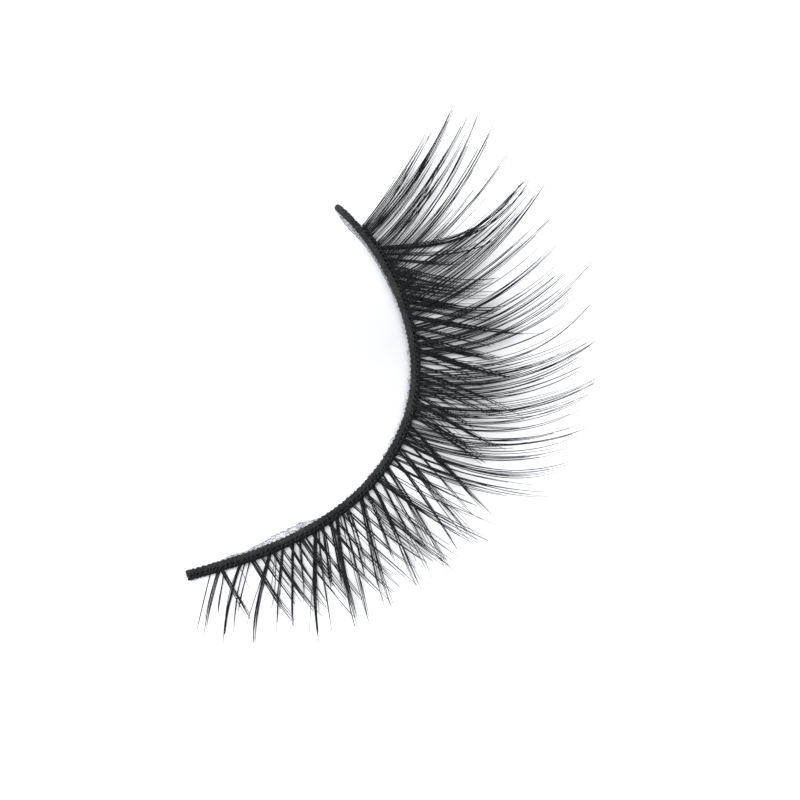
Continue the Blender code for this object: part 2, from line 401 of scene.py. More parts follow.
def mark_surface(mesh, layer_name, marks):
    """Give every corner of a mesh the UV mark of its point."""
    corner = np.empty(len(mesh.loops), dtype=np.int32)
    mesh.loops.foreach_get("vertex_index", corner)
    layer = mesh.uv_layers.new(name=layer_name)
    layer.data.foreach_set("uv", marks[corner].ravel())


class Strands:
    """Many tubes gathered into one mesh object."""

    def __init__(self):
        self.points, self.faces, self.marks = [], [], []
        self.total = 0

    def gather(self, points, marks, *face_sets):
        """Take in points, their UV marks, and arrays of faces that count the points from 0."""
        for faces in face_sets:
            self.faces += (faces + self.total).tolist()
        self.points.append(points)
        self.marks.append(marks)
        self.total += len(points)

    def add(self, paths, radii, sides, guide, number):
        """number gives each tube its first UV column; the second runs along it."""
        tubes, stations = paths.shape[:2]
        shape = (tubes, stations, sides)
        length = np.broadcast_to(np.linspace(0, 1, stations)[None, :, None], shape)
        mark = np.broadcast_to(np.asarray(number, dtype=float)[:, None, None], shape)
        marks = np.stack([mark, length], axis=-1).reshape(-1, 2)
        points = sweep_tubes(paths, radii, sides, guide)
        self.gather(points, marks, *tube_faces(tubes, stations, sides))

    def build(self, name, material):
        obj = mesh_object(name, np.concatenate(self.points), self.faces, material)
        mark_surface(obj.data, "hair_and_length", np.concatenate(self.marks))
        obj.data.shade_smooth()
        obj.data.update()
        triangles = sum(len(face) - 2 for face in self.faces)
        print(f"{name}: {triangles} triangles")
        return obj


sample = Strands()
sample_path = np.array([[(0, 0, 0), (1, 0, 0), (2, 0, 0)]]) * MM
sample.add(sample_path, np.full((1, 3), 0.1 * MM), 4, UP, [0])
print("a strand of 3 stations and 4 sides:", sample.total, "points,", len(sample.faces), "faces")

# %% [markdown]
# ## The two rows of lashes
#
# On the real strip the hairs are knotted by hand in little bunches. The upper row sweeps towards
# the outer corner; the lower row leans the other way across it. Two columns tell how wide a bunch
# is at its root and at its tip, and one how ragged its tips are. Particle hair could make this too,
# but a table with one row for each bunch keeps every lock where the photo has it.

# %% Locks of the upper row
# Widths in mm. reach is a share of LONG_REACH; lean and sweep are shares of the band.
LONG_LOCKS = [
    # root, reach, lean, sweep, hairs, root width, tip width, ragged
    (0.068, 0.34, 0.022, 0.000, 8, 0.24, 0.40, 0.16),
    (0.099, 0.26, 0.007, 0.000, 1, 0.05, 0.05, 0.00),
    (0.127, 0.43, 0.027, 0.000, 9, 0.28, 0.28, 0.16),
    (0.145, 0.34, 0.022, 0.000, 4, 0.20, 0.20, 0.16),
    (0.156, 0.37, 0.021, 0.000, 2, 0.10, 0.08, 0.10),
    (0.167, 0.47, 0.024, 0.000, 8, 0.28, 0.33, 0.16),
    (0.184, 0.43, 0.020, 0.000, 4, 0.22, 0.30, 0.16),
    (0.199, 0.42, 0.010, 0.000, 5, 0.21, 0.13, 0.16),
    (0.213, 0.56, 0.019, 0.000, 4, 0.14, 0.12, 0.12),
    (0.224, 0.50, 0.016, 0.000, 6, 0.27, 0.29, 0.16),
    (0.232, 0.42, 0.010, 0.000, 4, 0.14, 0.12, 0.15),
    (0.246, 0.50, 0.010, 0.000, 5, 0.19, 0.13, 0.16),
    (0.264, 0.58, 0.020, 0.000, 5, 0.21, 0.16, 0.16),
    (0.281, 0.56, 0.014, 0.000, 5, 0.21, 0.16, 0.16),
    (0.296, 0.55, 0.012, 0.000, 5, 0.22, 0.26, 0.15),
    (0.311, 0.60, 0.012, 0.000, 5, 0.20, 0.20, 0.12),
    (0.322, 0.52, 0.015, 0.000, 5, 0.20, 0.22, 0.15),
    (0.337, 0.60, 0.019, 0.000, 5, 0.19, 0.16, 0.16),
    (0.352, 0.62, 0.008, 0.000, 5, 0.24, 0.26, 0.16),
    (0.366, 0.69, 0.003, 0.000, 10, 0.33, 0.44, 0.16),
    (0.384, 0.64, 0.000, 0.000, 5, 0.20, 0.30, 0.15),
    (0.404, 0.72, 0.006, 0.000, 11, 0.37, 0.63, 0.16),
    (0.423, 0.70, 0.012, 0.000, 2, 0.08, 0.10, 0.10),
    (0.441, 0.66, 0.012, 0.000, 5, 0.18, 0.22, 0.14),
    (0.453, 0.72, 0.023, 0.000, 4, 0.18, 0.20, 0.16),
    (0.462, 0.90, 0.021, 0.004, 5, 0.17, 0.30, 0.12),
    (0.474, 0.78, 0.011, 0.008, 3, 0.16, 0.10, 0.12),
    (0.489, 0.95, -0.017, 0.050, 10, 0.27, 0.34, 0.10),
    (0.494, 0.80, 0.017, 0.018, 4, 0.14, 0.16, 0.10),
    (0.500, 0.88, 0.017, 0.021, 4, 0.14, 0.16, 0.10),
    (0.507, 0.92, 0.017, 0.024, 3, 0.16, 0.10, 0.10),
    (0.514, 0.97, 0.020, 0.022, 5, 0.17, 0.12, 0.10),
    (0.519, 0.86, 0.015, 0.022, 2, 0.12, 0.08, 0.10),
    (0.525, 0.93, 0.008, 0.028, 3, 0.16, 0.10, 0.10),
    (0.536, 0.90, 0.001, 0.038, 3, 0.12, 0.10, 0.10),
    (0.543, 0.62, 0.007, 0.006, 3, 0.12, 0.10, 0.10),
    (0.547, 0.92, 0.009, 0.031, 5, 0.22, 0.24, 0.10),
    (0.555, 0.93, 0.009, 0.026, 6, 0.23, 0.30, 0.10),
    (0.562, 0.99, 0.011, 0.030, 9, 0.30, 0.20, 0.10),
    (0.574, 0.86, 0.001, 0.027, 2, 0.12, 0.06, 0.08),
    (0.584, 0.88, 0.005, 0.028, 6, 0.29, 0.30, 0.08),
    (0.596, 0.94, 0.005, 0.036, 10, 0.55, 0.40, 0.08),
    (0.608, 0.96, 0.001, 0.034, 5, 0.29, 0.24, 0.08),
    (0.618, 0.92, 0.005, 0.021, 7, 0.26, 0.24, 0.08),
    (0.627, 0.97, 0.007, 0.020, 5, 0.29, 0.22, 0.08),
    (0.647, 0.96, -0.047, 0.080, 3, 0.20, 0.16, 0.10),
    (0.649, 0.80, 0.001, 0.022, 3, 0.14, 0.12, 0.10),
    (0.657, 0.86, 0.007, 0.030, 4, 0.15, 0.18, 0.10),
    (0.665, 1.00, 0.001, 0.053, 8, 0.32, 0.16, 0.10),
    (0.675, 0.87, 0.010, 0.028, 3, 0.15, 0.14, 0.10),
    (0.682, 0.90, 0.007, 0.039, 8, 0.27, 0.22, 0.10),
    (0.690, 0.84, 0.009, 0.030, 3, 0.16, 0.18, 0.10),
    (0.698, 0.88, 0.013, 0.030, 5, 0.27, 0.26, 0.10),
    (0.706, 0.74, 0.025, 0.020, 3, 0.17, 0.24, 0.12),
    (0.715, 0.89, 0.015, 0.036, 10, 0.35, 0.26, 0.12),
    (0.726, 0.78, 0.047, 0.000, 2, 0.17, 0.24, 0.12),
    (0.735, 0.89, 0.062, 0.000, 6, 0.29, 0.20, 0.10),
    (0.744, 0.81, 0.056, 0.000, 3, 0.20, 0.16, 0.10),
    (0.748, 0.93, 0.085, 0.004, 6, 0.35, 0.30, 0.12),
    (0.762, 0.88, 0.073, 0.000, 6, 0.35, 0.40, 0.15),
    (0.770, 0.20, 0.021, 0.000, 6, 0.60, 0.50, 0.35),
    (0.778, 0.86, 0.061, 0.000, 6, 0.60, 0.40, 0.15),
    (0.792, 0.86, 0.051, 0.000, 6, 0.60, 0.40, 0.15),
    (0.800, 0.18, 0.017, 0.000, 7, 0.60, 0.50, 0.35),
    (0.806, 0.85, 0.041, 0.000, 5, 0.55, 0.36, 0.15),
    (0.817, 0.88, 0.039, 0.000, 9, 0.36, 0.24, 0.12),
    (0.824, 0.15, 0.015, 0.000, 7, 0.56, 0.50, 0.35),
    (0.828, 0.91, 0.075, -0.004, 5, 0.34, 0.20, 0.04),
    (0.838, 0.62, 0.053, 0.000, 5, 0.50, 0.36, 0.20),
    (0.846, 0.10, 0.015, 0.000, 6, 0.54, 0.46, 0.35),
    (0.850, 0.91, 0.087, -0.002, 10, 0.62, 0.26, 0.12),
    (0.862, 0.87, 0.091, 0.002, 7, 0.38, 0.08, 0.08),
    (0.868, 0.08, 0.013, 0.000, 5, 0.48, 0.40, 0.35),
    (0.874, 0.62, 0.075, 0.000, 6, 0.50, 0.44, 0.22),
    (0.887, 0.82, 0.067, 0.000, 4, 0.34, 0.22, 0.12),
    (0.895, 0.83, 0.079, -0.010, 8, 0.42, 0.12, 0.10),
    (0.908, 0.60, 0.049, 0.000, 3, 0.34, 0.40, 0.22),
    (0.923, 0.835, 0.064, -0.002, 13, 0.50, 0.12, 0.08),
    (0.938, 0.69, 0.059, -0.008, 10, 0.50, 0.30, 0.12),
]
print("upper row:", sum(row[4] for row in LONG_LOCKS), "hairs in", len(LONG_LOCKS), "locks")

# %% Locks of the lower row
CROSS_LOCKS = [
    # root, reach, lean, sweep, hairs, root width, tip width, ragged
    (0.047, 0.31, -0.060, 0.006, 1, 0.05, 0.05, 0.00),
    (0.062, 0.37, -0.078, 0.018, 5, 0.24, 0.34, 0.16),
    (0.072, 0.25, -0.034, 0.000, 2, 0.16, 0.12, 0.15),
    (0.104, 0.42, -0.100, 0.030, 8, 0.21, 0.13, 0.16),
    (0.113, 0.39, -0.085, 0.026, 2, 0.14, 0.08, 0.10),
    (0.122, 0.27, -0.055, 0.008, 2, 0.10, 0.08, 0.10),
    (0.161, 0.47, -0.115, 0.038, 8, 0.25, 0.16, 0.16),
    (0.173, 0.31, -0.050, 0.006, 2, 0.10, 0.10, 0.10),
    (0.187, 0.46, -0.085, 0.021, 4, 0.18, 0.15, 0.16),
    (0.207, 0.50, -0.082, 0.020, 5, 0.19, 0.17, 0.16),
    (0.222, 0.36, -0.050, 0.006, 4, 0.14, 0.10, 0.12),
    (0.254, 0.61, -0.126, 0.045, 12, 0.22, 0.09, 0.16),
    (0.261, 0.57, -0.095, 0.030, 2, 0.08, 0.06, 0.10),
    (0.269, 0.34, -0.045, 0.004, 5, 0.18, 0.14, 0.12),
    (0.288, 0.42, -0.060, 0.010, 5, 0.28, 0.30, 0.16),
    (0.301, 0.63, -0.112, 0.040, 8, 0.27, 0.34, 0.16),
    (0.308, 0.67, -0.095, 0.030, 1, 0.05, 0.05, 0.00),
    (0.314, 0.62, -0.085, 0.018, 4, 0.14, 0.10, 0.10),
    (0.325, 0.38, -0.050, 0.006, 5, 0.34, 0.26, 0.16),
    (0.358, 0.63, -0.120, 0.040, 9, 0.34, 0.59, 0.16),
    (0.374, 0.42, -0.060, 0.010, 4, 0.16, 0.14, 0.15),
    (0.390, 0.64, -0.090, 0.022, 6, 0.24, 0.24, 0.16),
    (0.408, 0.62, -0.085, 0.020, 4, 0.16, 0.14, 0.12),
    (0.418, 0.48, -0.060, 0.010, 4, 0.14, 0.12, 0.15),
    (0.433, 0.73, -0.106, 0.032, 7, 0.31, 0.33, 0.16),
    (0.456, 0.62, -0.082, 0.015, 4, 0.14, 0.12, 0.12),
    (0.476, 0.70, -0.102, 0.030, 8, 0.34, 0.28, 0.22),
    (0.496, 0.56, -0.077, 0.018, 3, 0.14, 0.18, 0.22),
    (0.510, 0.46, -0.057, 0.012, 4, 0.15, 0.18, 0.12),
    (0.525, 0.68, -0.117, 0.036, 8, 0.19, 0.15, 0.22),
    (0.545, 0.48, -0.045, 0.010, 10, 0.31, 0.32, 0.15),
    (0.557, 0.40, -0.045, 0.006, 5, 0.17, 0.22, 0.15),
    (0.573, 0.56, -0.072, 0.026, 7, 0.20, 0.14, 0.12),
    (0.584, 0.36, -0.039, 0.004, 5, 0.19, 0.22, 0.15),
    (0.595, 0.32, -0.029, 0.000, 4, 0.14, 0.12, 0.10),
    (0.606, 0.44, -0.037, 0.000, 4, 0.14, 0.12, 0.10),
    (0.617, 0.52, -0.047, 0.000, 4, 0.14, 0.12, 0.10),
    (0.628, 0.60, -0.059, 0.002, 5, 0.12, 0.12, 0.10),
    (0.641, 0.38, -0.037, 0.004, 4, 0.14, 0.18, 0.15),
    (0.656, 0.34, -0.039, 0.004, 5, 0.16, 0.18, 0.15),
    (0.673, 0.53, -0.084, 0.031, 16, 0.26, 0.14, 0.10),
    (0.686, 0.47, -0.057, 0.016, 8, 0.26, 0.16, 0.12),
    (0.702, 0.50, -0.087, 0.026, 6, 0.29, 0.27, 0.15),
    (0.718, 0.44, -0.067, 0.014, 4, 0.25, 0.27, 0.15),
    (0.740, 0.70, -0.109, 0.036, 10, 0.29, 0.14, 0.35),
    (0.758, 0.44, -0.069, 0.014, 6, 0.25, 0.27, 0.15),
    (0.772, 0.48, -0.087, 0.026, 6, 0.27, 0.31, 0.15),
    (0.779, 0.20, -0.033, 0.004, 6, 0.56, 0.46, 0.35),
    (0.786, 0.54, -0.127, 0.055, 9, 0.27, 0.22, 0.14),
    (0.800, 0.46, -0.087, 0.024, 4, 0.37, 0.40, 0.18),
    (0.808, 0.20, -0.037, 0.004, 6, 0.56, 0.46, 0.35),
    (0.815, 0.50, -0.107, 0.036, 5, 0.40, 0.44, 0.18),
    (0.832, 0.50, -0.132, 0.052, 5, 0.40, 0.50, 0.18),
    (0.838, 0.14, -0.033, 0.004, 6, 0.52, 0.42, 0.35),
    (0.850, 0.54, -0.157, 0.062, 5, 0.37, 0.60, 0.18),
    (0.858, 0.12, -0.027, 0.002, 5, 0.48, 0.40, 0.35),
    (0.866, 0.42, -0.092, 0.026, 4, 0.32, 0.36, 0.18),
    (0.880, 0.60, -0.127, 0.062, 4, 0.32, 0.34, 0.15),
    (0.891, 0.90, -0.169, 0.138, 9, 0.36, 0.40, 0.22),
]
print("lower row:", sum(row[4] for row in CROSS_LOCKS), "hairs in", len(CROSS_LOCKS), "locks")

# %% [markdown]
# ### How thick a hair is
#
# A synthetic hair is drawn out to a point, so that it looks like a real lash. It keeps its full
# thickness for the first two fifths of its length and then tapers. A cone would be simpler, but it
# would look thin from the root on, and the row would lose its dark base.

# %% Thickness of a hair
HAIR_STATIONS = 20
HAIR_SIDES = 6
HAIR_RADIUS = 0.034 * MM
TIP_RADIUS = 0.013 * MM
TAPER_START = 0.42
TAPER_BLUNTNESS = 0.9


def hair_radii(steps, thickness):
    """Full at the root, then tapering to a fine point."""
    taper = np.clip((steps - TAPER_START) / (1 - TAPER_START), 0, 1)
    shape = (1 - taper**2) ** TAPER_BLUNTNESS
    return TIP_RADIUS + (thickness - TIP_RADIUS) * shape


sample_radii = hair_radii(np.array([0.0, 0.5, 1.0]), HAIR_RADIUS)
print("hair radius at root, middle and tip in mm:", (sample_radii / MM).round(3).tolist())

# %% [markdown]
# ### How the hairs of a lock differ
#
# The maker takes a few hairs at a time, so their roots lie side by side, unevenly. Each hair gets
# its own length, thickness and height in the row, and one in ten strays from its lock. All this is
# drawn from a generator with a fixed seed: it looks untidy, and every run is alike.

# %% Draw the hairs of a lock
FINEST_HAIR = 0.62
HAIRS_PER_TIP = 2.4
TIP_GATHER = 0.18
TIP_SCATTER = 0.3
SHORTER_HAIRS = 0.45
HAIR_WANDER = 0.030 * MM
ROOT_JITTER = 0.35
STRAY_SHARE = 0.10
STRAY_LEAN = 0.35 * MM
STRAY_REACH = (0.55, 0.97)
STRAY_THICKNESS = 0.75


def spread_out(count, jitter, dice):
    """Places from -1 to 1 across a lock, evenly spread and then shaken a little."""
    return (np.arange(count) + 0.5 + dice.uniform(-jitter, jitter, count)) / count * 2 - 1


def draw_lock(hairs, ragged, dice):
    """Start, finish, length, level, thickness, wander and straying of each hair."""
    start = spread_out(hairs, ROOT_JITTER, dice)
    tips = max(1, round(hairs / HAIRS_PER_TIP))
    tip = np.arange(hairs) * tips // hairs
    tip_place = spread_out(tips, TIP_SCATTER, dice)
    tip_length = 1 - ragged * dice.uniform(0, 1, tips)
    tip_length[dice.integers(tips)] = 1.0
    finish = tip_place[tip] + (start - tip_place[tip]) * TIP_GATHER
    shortfall = SHORTER_HAIRS * dice.uniform(0, 1, hairs) ** 2
    # The first hair at each tip is the longest one there
    shortfall[np.searchsorted(tip, np.arange(tips))] = 0.0
    length = tip_length[tip] * (1 - shortfall)
    level = dice.uniform(0, 1, hairs)
    thickness = HAIR_RADIUS * dice.uniform(FINEST_HAIR, 1.0, hairs)
    # Three numbers for each hair, of which its sway takes two
    wander = dice.normal(0, HAIR_WANDER, (hairs, 3))
    stray = dice.uniform(0, 1, hairs) < STRAY_SHARE
    length = np.where(stray, dice.uniform(*STRAY_REACH, hairs), length)
    thickness = np.where(stray, thickness * STRAY_THICKNESS, thickness)
    astray = np.where(stray, dice.normal(0, STRAY_LEAN, hairs), 0.0)
    return start, finish, length, level, thickness, wander, astray


sample_lengths = draw_lock(6, 0.16, np.random.default_rng(1))[2]
print("lengths of six sample hairs, as shares:", sample_lengths.round(2).tolist())

# %% [markdown]
# ### How a bunch of hairs runs
#
# Inside a lock the hairs start side by side and gather towards a few shared tips, because the
# fibres cling together. Near the inner corner they cling from the root on; in the middle of the
# band they stay spread for longer. The path of each hair follows the lock of the CAD model, and
# its height stays between the floor and the top of that solid.

# %% Grow the hairs of a lock
FINE_END = 1.045
CURL_END = 0.98
EARLY_GATHER = 0.6
LATE_GATHER = 2
WIDENING = 1.3
# How far the hairs of a lock cling together: share of the band, 0 for evenly spread to 1
CLUMPING = [
    (0.00, 0.90),
    (0.42, 0.85),
    (0.50, 0.40),
    (0.60, 0.25),
    (0.72, 0.35),
    (0.80, 0.50),
    (1.00, 0.70),
]


def lock_hairs(row, longest, floor, dice):
    """Paths and radii of one lock's hairs."""
    root, reach, lean, sweep, hairs, root_width, tip_width, ragged = row
    start, finish, length, level, thickness, wander, astray = draw_lock(hairs, ragged, dice)
    steps = np.linspace(0, 1, HAIR_STATIONS)[None, :]
    t = steps * length[:, None]
    clumped = float(table_curve(CLUMPING, root))
    gather = clumped * t**EARLY_GATHER + (1 - clumped) * t**LATE_GATHER
    across = start[:, None] + (finish - start)[:, None] * gather
    spread = (root_width + (tip_width - root_width) * t**WIDENING) * MM / 2
    sway = wander[:, :1] * np.sin(math.pi * t) + wander[:, 1:2] * np.sin(2 * math.pi * t)
    aside = across * spread + sway + astray[:, None] * t
    share = root + lean * t + sweep * t**2 + aside / BAND_LENGTH
    distance = THREAD_OFFSET + (FINE_END * reach * longest - THREAD_OFFSET) * t
    room = ROW_HEIGHT + (TIP_THICKNESS - ROW_HEIGHT) * t
    radii = hair_radii(steps, thickness[:, None])
    curled = THREAD_OFFSET + (CURL_END * reach * longest - THREAD_OFFSET) * t
    height = floor + curl_height(curled) + radii + level[:, None] * (room - 2 * radii)
    return place(share, distance, height), radii


sample_paths, _ = lock_hairs(LONG_LOCKS[0], LONG_REACH, LONG_ROW_FLOOR, np.random.default_rng(1))
print("tips of a sample lock, mm above the table:", (sample_paths[:, -1, 2] / MM).round(2).tolist())

# %% [markdown]
# ### Root thread and knots
#
# The hairs of a row are looped round a thread along the band, one knot against the next. A bump
# on a plain tube could hint at that, but the loops show in the photo as a beaded edge. So each is
# a real ring of hair round the thread, a little loose and a little askew.

# %% Thread and loops
ROOT_THREAD_RADIUS = 0.055 * MM
THREAD_STATIONS = 400
THREAD_SIDES = 8
LOOP_RADIUS = 0.076 * MM
LOOP_HAIR_RADIUS = 0.029 * MM
LOOP_STATIONS = 9
LOOP_SIDES = 4
LOOPS_ON_ROW = 320
LOOP_JITTER = 0.3
LOOP_LEAN = 0.06
LOOP_TIGHTEST = 0.94
FIRST_KNOT = 0.006
LAST_KNOT = 0.941
THREAD_START = 0.005
THREAD_PAST_KNOT = 0.003


def root_thread(floor):
    """The thread that a row's hairs are knotted on."""
    shares = np.linspace(THREAD_START, LAST_KNOT + THREAD_PAST_KNOT, THREAD_STATIONS)[None, :]
    offsets = np.full(shares.shape, THREAD_OFFSET)
    return place(shares, offsets, floor + ROW_HEIGHT / 2)


def root_loops(floor, dice):
    """The hair's loops round the root thread, close together like the turns of a spring."""
    shares = np.linspace(FIRST_KNOT, LAST_KNOT, LOOPS_ON_ROW)
    shares = shares + dice.uniform(-LOOP_JITTER, LOOP_JITTER, LOOPS_ON_ROW) / LOOPS_ON_ROW
    turn = np.linspace(0, 2 * math.pi, LOOP_STATIONS)[None, :]
    lean = dice.uniform(-LOOP_LEAN, LOOP_LEAN, LOOPS_ON_ROW)[:, None] * MM
    radius = LOOP_RADIUS * dice.uniform(LOOP_TIGHTEST, 1.0, LOOPS_ON_ROW)[:, None]
    share = shares[:, None] + lean * np.cos(turn) / BAND_LENGTH
    distance = THREAD_OFFSET + radius * np.cos(turn)
    height = floor + ROW_HEIGHT / 2 + radius * np.sin(turn)
    paths = place(share, distance, height)
    _, along, _ = band_frame(shares)
    guide = np.concatenate([along, np.zeros((LOOPS_ON_ROW, 1))], axis=1)[:, None, :]
    return paths, np.full(paths.shape[:2], LOOP_HAIR_RADIUS), guide


print("one knot every", round(BAND_LENGTH * LAST_KNOT / LOOPS_ON_ROW / MM, 3), "mm")

# %% [markdown]
# ### Both rows
#
# The lower row lies on the table, and the upper row on top of it with a small clearance. Both use
# the same recipe with their own table of locks, so that a better hair is better in both rows.

# %% Grow both rows


def grow_row(name, table, longest, floor, seed):
    """All the hairs of a row, their root thread and the knots on it."""
    dice = np.random.default_rng(seed)
    strands = Strands()
    number = 0
    for row in table:
        paths, radii = lock_hairs(row, longest, floor, dice)
        strands.add(paths, radii, HAIR_SIDES, UP, number + np.arange(len(paths)) + 0.5)
        number += len(paths)
    thread = root_thread(floor)
    thread_radii = np.full(thread.shape[:2], ROOT_THREAD_RADIUS)
    strands.add(thread, thread_radii, THREAD_SIDES, UP, [number])
    loops, loop_radii, guide = root_loops(floor, dice)
    strands.add(loops, loop_radii, LOOP_SIDES, guide, number + 1 + np.arange(len(loops)))
    return strands.build(name, fibre_material)


cross_lash_hairs = grow_row("cross_lash_hairs", CROSS_LOCKS, CROSS_REACH, 0.0, seed=11)
long_lash_hairs = grow_row("long_lash_hairs", LONG_LOCKS, LONG_REACH, LONG_ROW_FLOOR, seed=7)
rows = ((cross_lash_hairs, "cross_lash_fringe"), (long_lash_hairs, "long_lash_fringe"))
for hairs, node in rows:
    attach(hairs, "root")
    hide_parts(node)

# %% [markdown]
# ## The knotted cotton band
#
# The band is a tight flat braid of black cotton, bound to the lash roots with thread. Cotton is
# matt and slightly worn, with fluff that catches the light. The finish could be one dark grey, but
# up close the worn patches and the tone of each yarn tell that it is cloth and not plastic.

# %% Cotton material
COTTON_BLACK = (0.0055, 0.0062, 0.0078)
COTTON_WORN = (0.0360, 0.0400, 0.0410)
COTTON_WEAR_FROM = 0.20
COTTON_WEAR_FULL = 0.48
COTTON_FLUFF = 9000
COTTON_FLUFF_DETAIL = 5.0
COTTON_PATCHES = 900
COTTON_YARN_TONE = 0.12
COTTON_MATT = 0.62
COTTON_DULL = 0.85
COTTON_SHINE = 0.25
COTTON_SHEEN = 0.04
COTTON_SHEEN_ROUGHNESS = 0.5
COTTON_RELIEF = 0.010 * MM


def black_cotton():
    """Matt black cotton, worn in patches, whose tone differs from yarn to yarn."""
    recipe = Recipe("black_cotton_yarn")
    uv = recipe.add("UVMap", uv_map="hair_and_length")
    axes = recipe.add("SeparateXYZ", {"Vector": uv.outputs["UV"]})
    place_on_part = recipe.add("TexCoord").outputs["Object"]
    fluff = recipe.noise(place_on_part, COTTON_FLUFF, detail=COTTON_FLUFF_DETAIL)
    patch = recipe.noise(place_on_part, COTTON_PATCHES)
    yarn = recipe.add("TexWhiteNoise", {"W": axes.outputs["X"]}, noise_dimensions="1D")
    yarn_tone = recipe.math("MULTIPLY", yarn.outputs["Value"], COTTON_YARN_TONE)
    wear = recipe.math("ADD", recipe.math("MULTIPLY", fluff, patch), yarn_tone)
    shades = [(COTTON_WEAR_FROM, COTTON_BLACK), (COTTON_WEAR_FULL, COTTON_WORN)]
    recipe.set(Base_Color=recipe.ramp(wear, shades))
    recipe.set(Roughness=recipe.ramp(fluff, [(0.3, COTTON_MATT), (0.7, COTTON_DULL)]))
    recipe.bump(fluff, COTTON_RELIEF)
    recipe.set(Specular_IOR_Level=COTTON_SHINE)
    recipe.set(Sheen_Weight=COTTON_SHEEN, Sheen_Roughness=COTTON_SHEEN_ROUGHNESS)
    return recipe.material


cotton_material = black_cotton()
print("material:", cotton_material.name, "with", len(cotton_material.node_tree.nodes), "nodes")

# %% [markdown]
# ### Braid
#
# A picture of a braid would look flat in the low side views, so the yarns are real tubes. Half of
# them wind one way round a flat section and half the other way, and a sine wave lifts each one over
# and under those that it meets.

# %% Braided yarns
YARNS_EACH_WAY = 6
BRAID_PITCH = 1.25 * MM
STATIONS_PER_TURN = 26
YARN_RADIUS = 0.044 * MM
YARN_SIDES = 5
YARN_WEAVE = 0.014 * MM
SECTION_SQUARENESS = 3.2
CUT_END = 0.004


def braid_section(angle, inset):
    """Offset across the band and height, round a flat section with rounded corners."""
    half_width = BAND_WIDTH / 2 - inset
    half_height = BAND_HEIGHT / 2 - inset
    power = 2 / SECTION_SQUARENESS
    across = np.sign(np.cos(angle)) * np.abs(np.cos(angle)) ** power * half_width
    height = np.sign(np.sin(angle)) * np.abs(np.sin(angle)) ** power * half_height
    return across, height + BAND_HEIGHT / 2


def braid_yarns(way):
    """Paths of the yarns that wind one way, passing over and under the others."""
    turns = BAND_LENGTH / BRAID_PITCH
    steps = np.linspace(0, 1, int(turns * STATIONS_PER_TURN))[None, :]
    first = np.arange(YARNS_EACH_WAY)[:, None] * 2 * math.pi / YARNS_EACH_WAY
    angle = first + way * steps * turns * 2 * math.pi
    meetings = steps * turns * 2 * YARNS_EACH_WAY
    weave = way * YARN_WEAVE * np.sin(meetings * math.pi + way * first * YARNS_EACH_WAY / 2)
    across, height = braid_section(angle, YARN_RADIUS + YARN_WEAVE - weave)
    share = np.broadcast_to(CUT_END + (1 - CUT_END) * steps, angle.shape)
    paths = place(share, across, height)
    centre = place(share, np.zeros(angle.shape), BAND_HEIGHT / 2)
    return paths, paths - centre


print("yarns:", 2 * YARNS_EACH_WAY, "with", round(BAND_LENGTH / BRAID_PITCH, 1), "turns each")

# %% [markdown]
# ### Core
#
# Light would shine through the gaps of a hollow braid. A real one is filled by its own yarns and
# some glue. A dark core just under the yarns does the same with a few hundred faces.

# %% Core of the band
CORE_INSET = 0.055 * MM
CORE_STATIONS = 200
CORE_SIDES = 16
CORE_END = 0.999


def band_core(strands):
    """The dark filling that closes the gaps between the yarns."""
    shares = np.linspace(CUT_END, CORE_END, CORE_STATIONS)
    angle = np.linspace(0, 2 * math.pi, CORE_SIDES, endpoint=False)
    across, height = braid_section(angle, CORE_INSET)
    shape = np.ones((CORE_STATIONS, CORE_SIDES))
    rings = place(shares[:, None] * shape, across * shape, height * shape).reshape(-1, 3)
    marks = np.zeros((len(rings), 2))
    strands.gather(rings, marks, *tube_faces(1, CORE_STATIONS, CORE_SIDES))


print("core width in mm:", round((BAND_WIDTH - 2 * CORE_INSET) / MM, 2))

# %% [markdown]
# ### Hardened ends
#
# Each end of a strip is dipped in glue and cut, so that the braid can't open. It could be capped
# with a flat face, but the real end is a small hard lump. A short thick tube with a rounded outline
# closes each end; the higher its squareness, the blunter it is.

# %% Hardened ends
LUMP_STATIONS = 15
LUMP_SIDES = 14
LUMP_CAP = 0.01 * MM
# First share, last share, width, squareness
OUTER_END_LUMP = (0.986, 1.010, 0.48 * MM, 2.6)
INNER_END_LUMP = (0.003, 0.014, 0.50 * MM, 6.0)


def end_lump(first, last, width, squareness):
    """Glue-hardened cotton that closes an end of the braid, between two shares."""
    steps = np.linspace(-1, 1, LUMP_STATIONS)[None, :]
    share = first + (last - first) * (steps + 1) / 2
    paths = place(share, np.zeros(share.shape), BAND_HEIGHT / 2)
    radii = width / 2 * (1 - np.abs(steps) ** squareness) ** (1 / squareness) + LUMP_CAP
    return paths, radii


for first, last, _, _ in (INNER_END_LUMP, OUTER_END_LUMP):
    print("hardened end in mm:", round((last - first) * BAND_LENGTH / MM, 2))

# %% [markdown]
# ### Binding thread
#
# A thread winds round the braid and the root threads together and ties the lashes on. Past the
# last knot it has only the braid to bind, so its turns grow narrower there. A few such threads,
# with turns that are not quite even, cover the seam between band and lashes.

# %% Binding thread
BINDING_THREADS = 3
BINDING_PITCH = 1.05 * MM
BINDING_RADIUS = 0.036 * MM
BINDING_LIFT = 0.015 * MM
BINDING_UNEVENNESS = 0.5
BINDING_SLIPS = 160
BINDING_INTO_LUMP = 0.006
BINDING_NARROWS = (LAST_KNOT - 0.022, LAST_KNOT + 0.010)


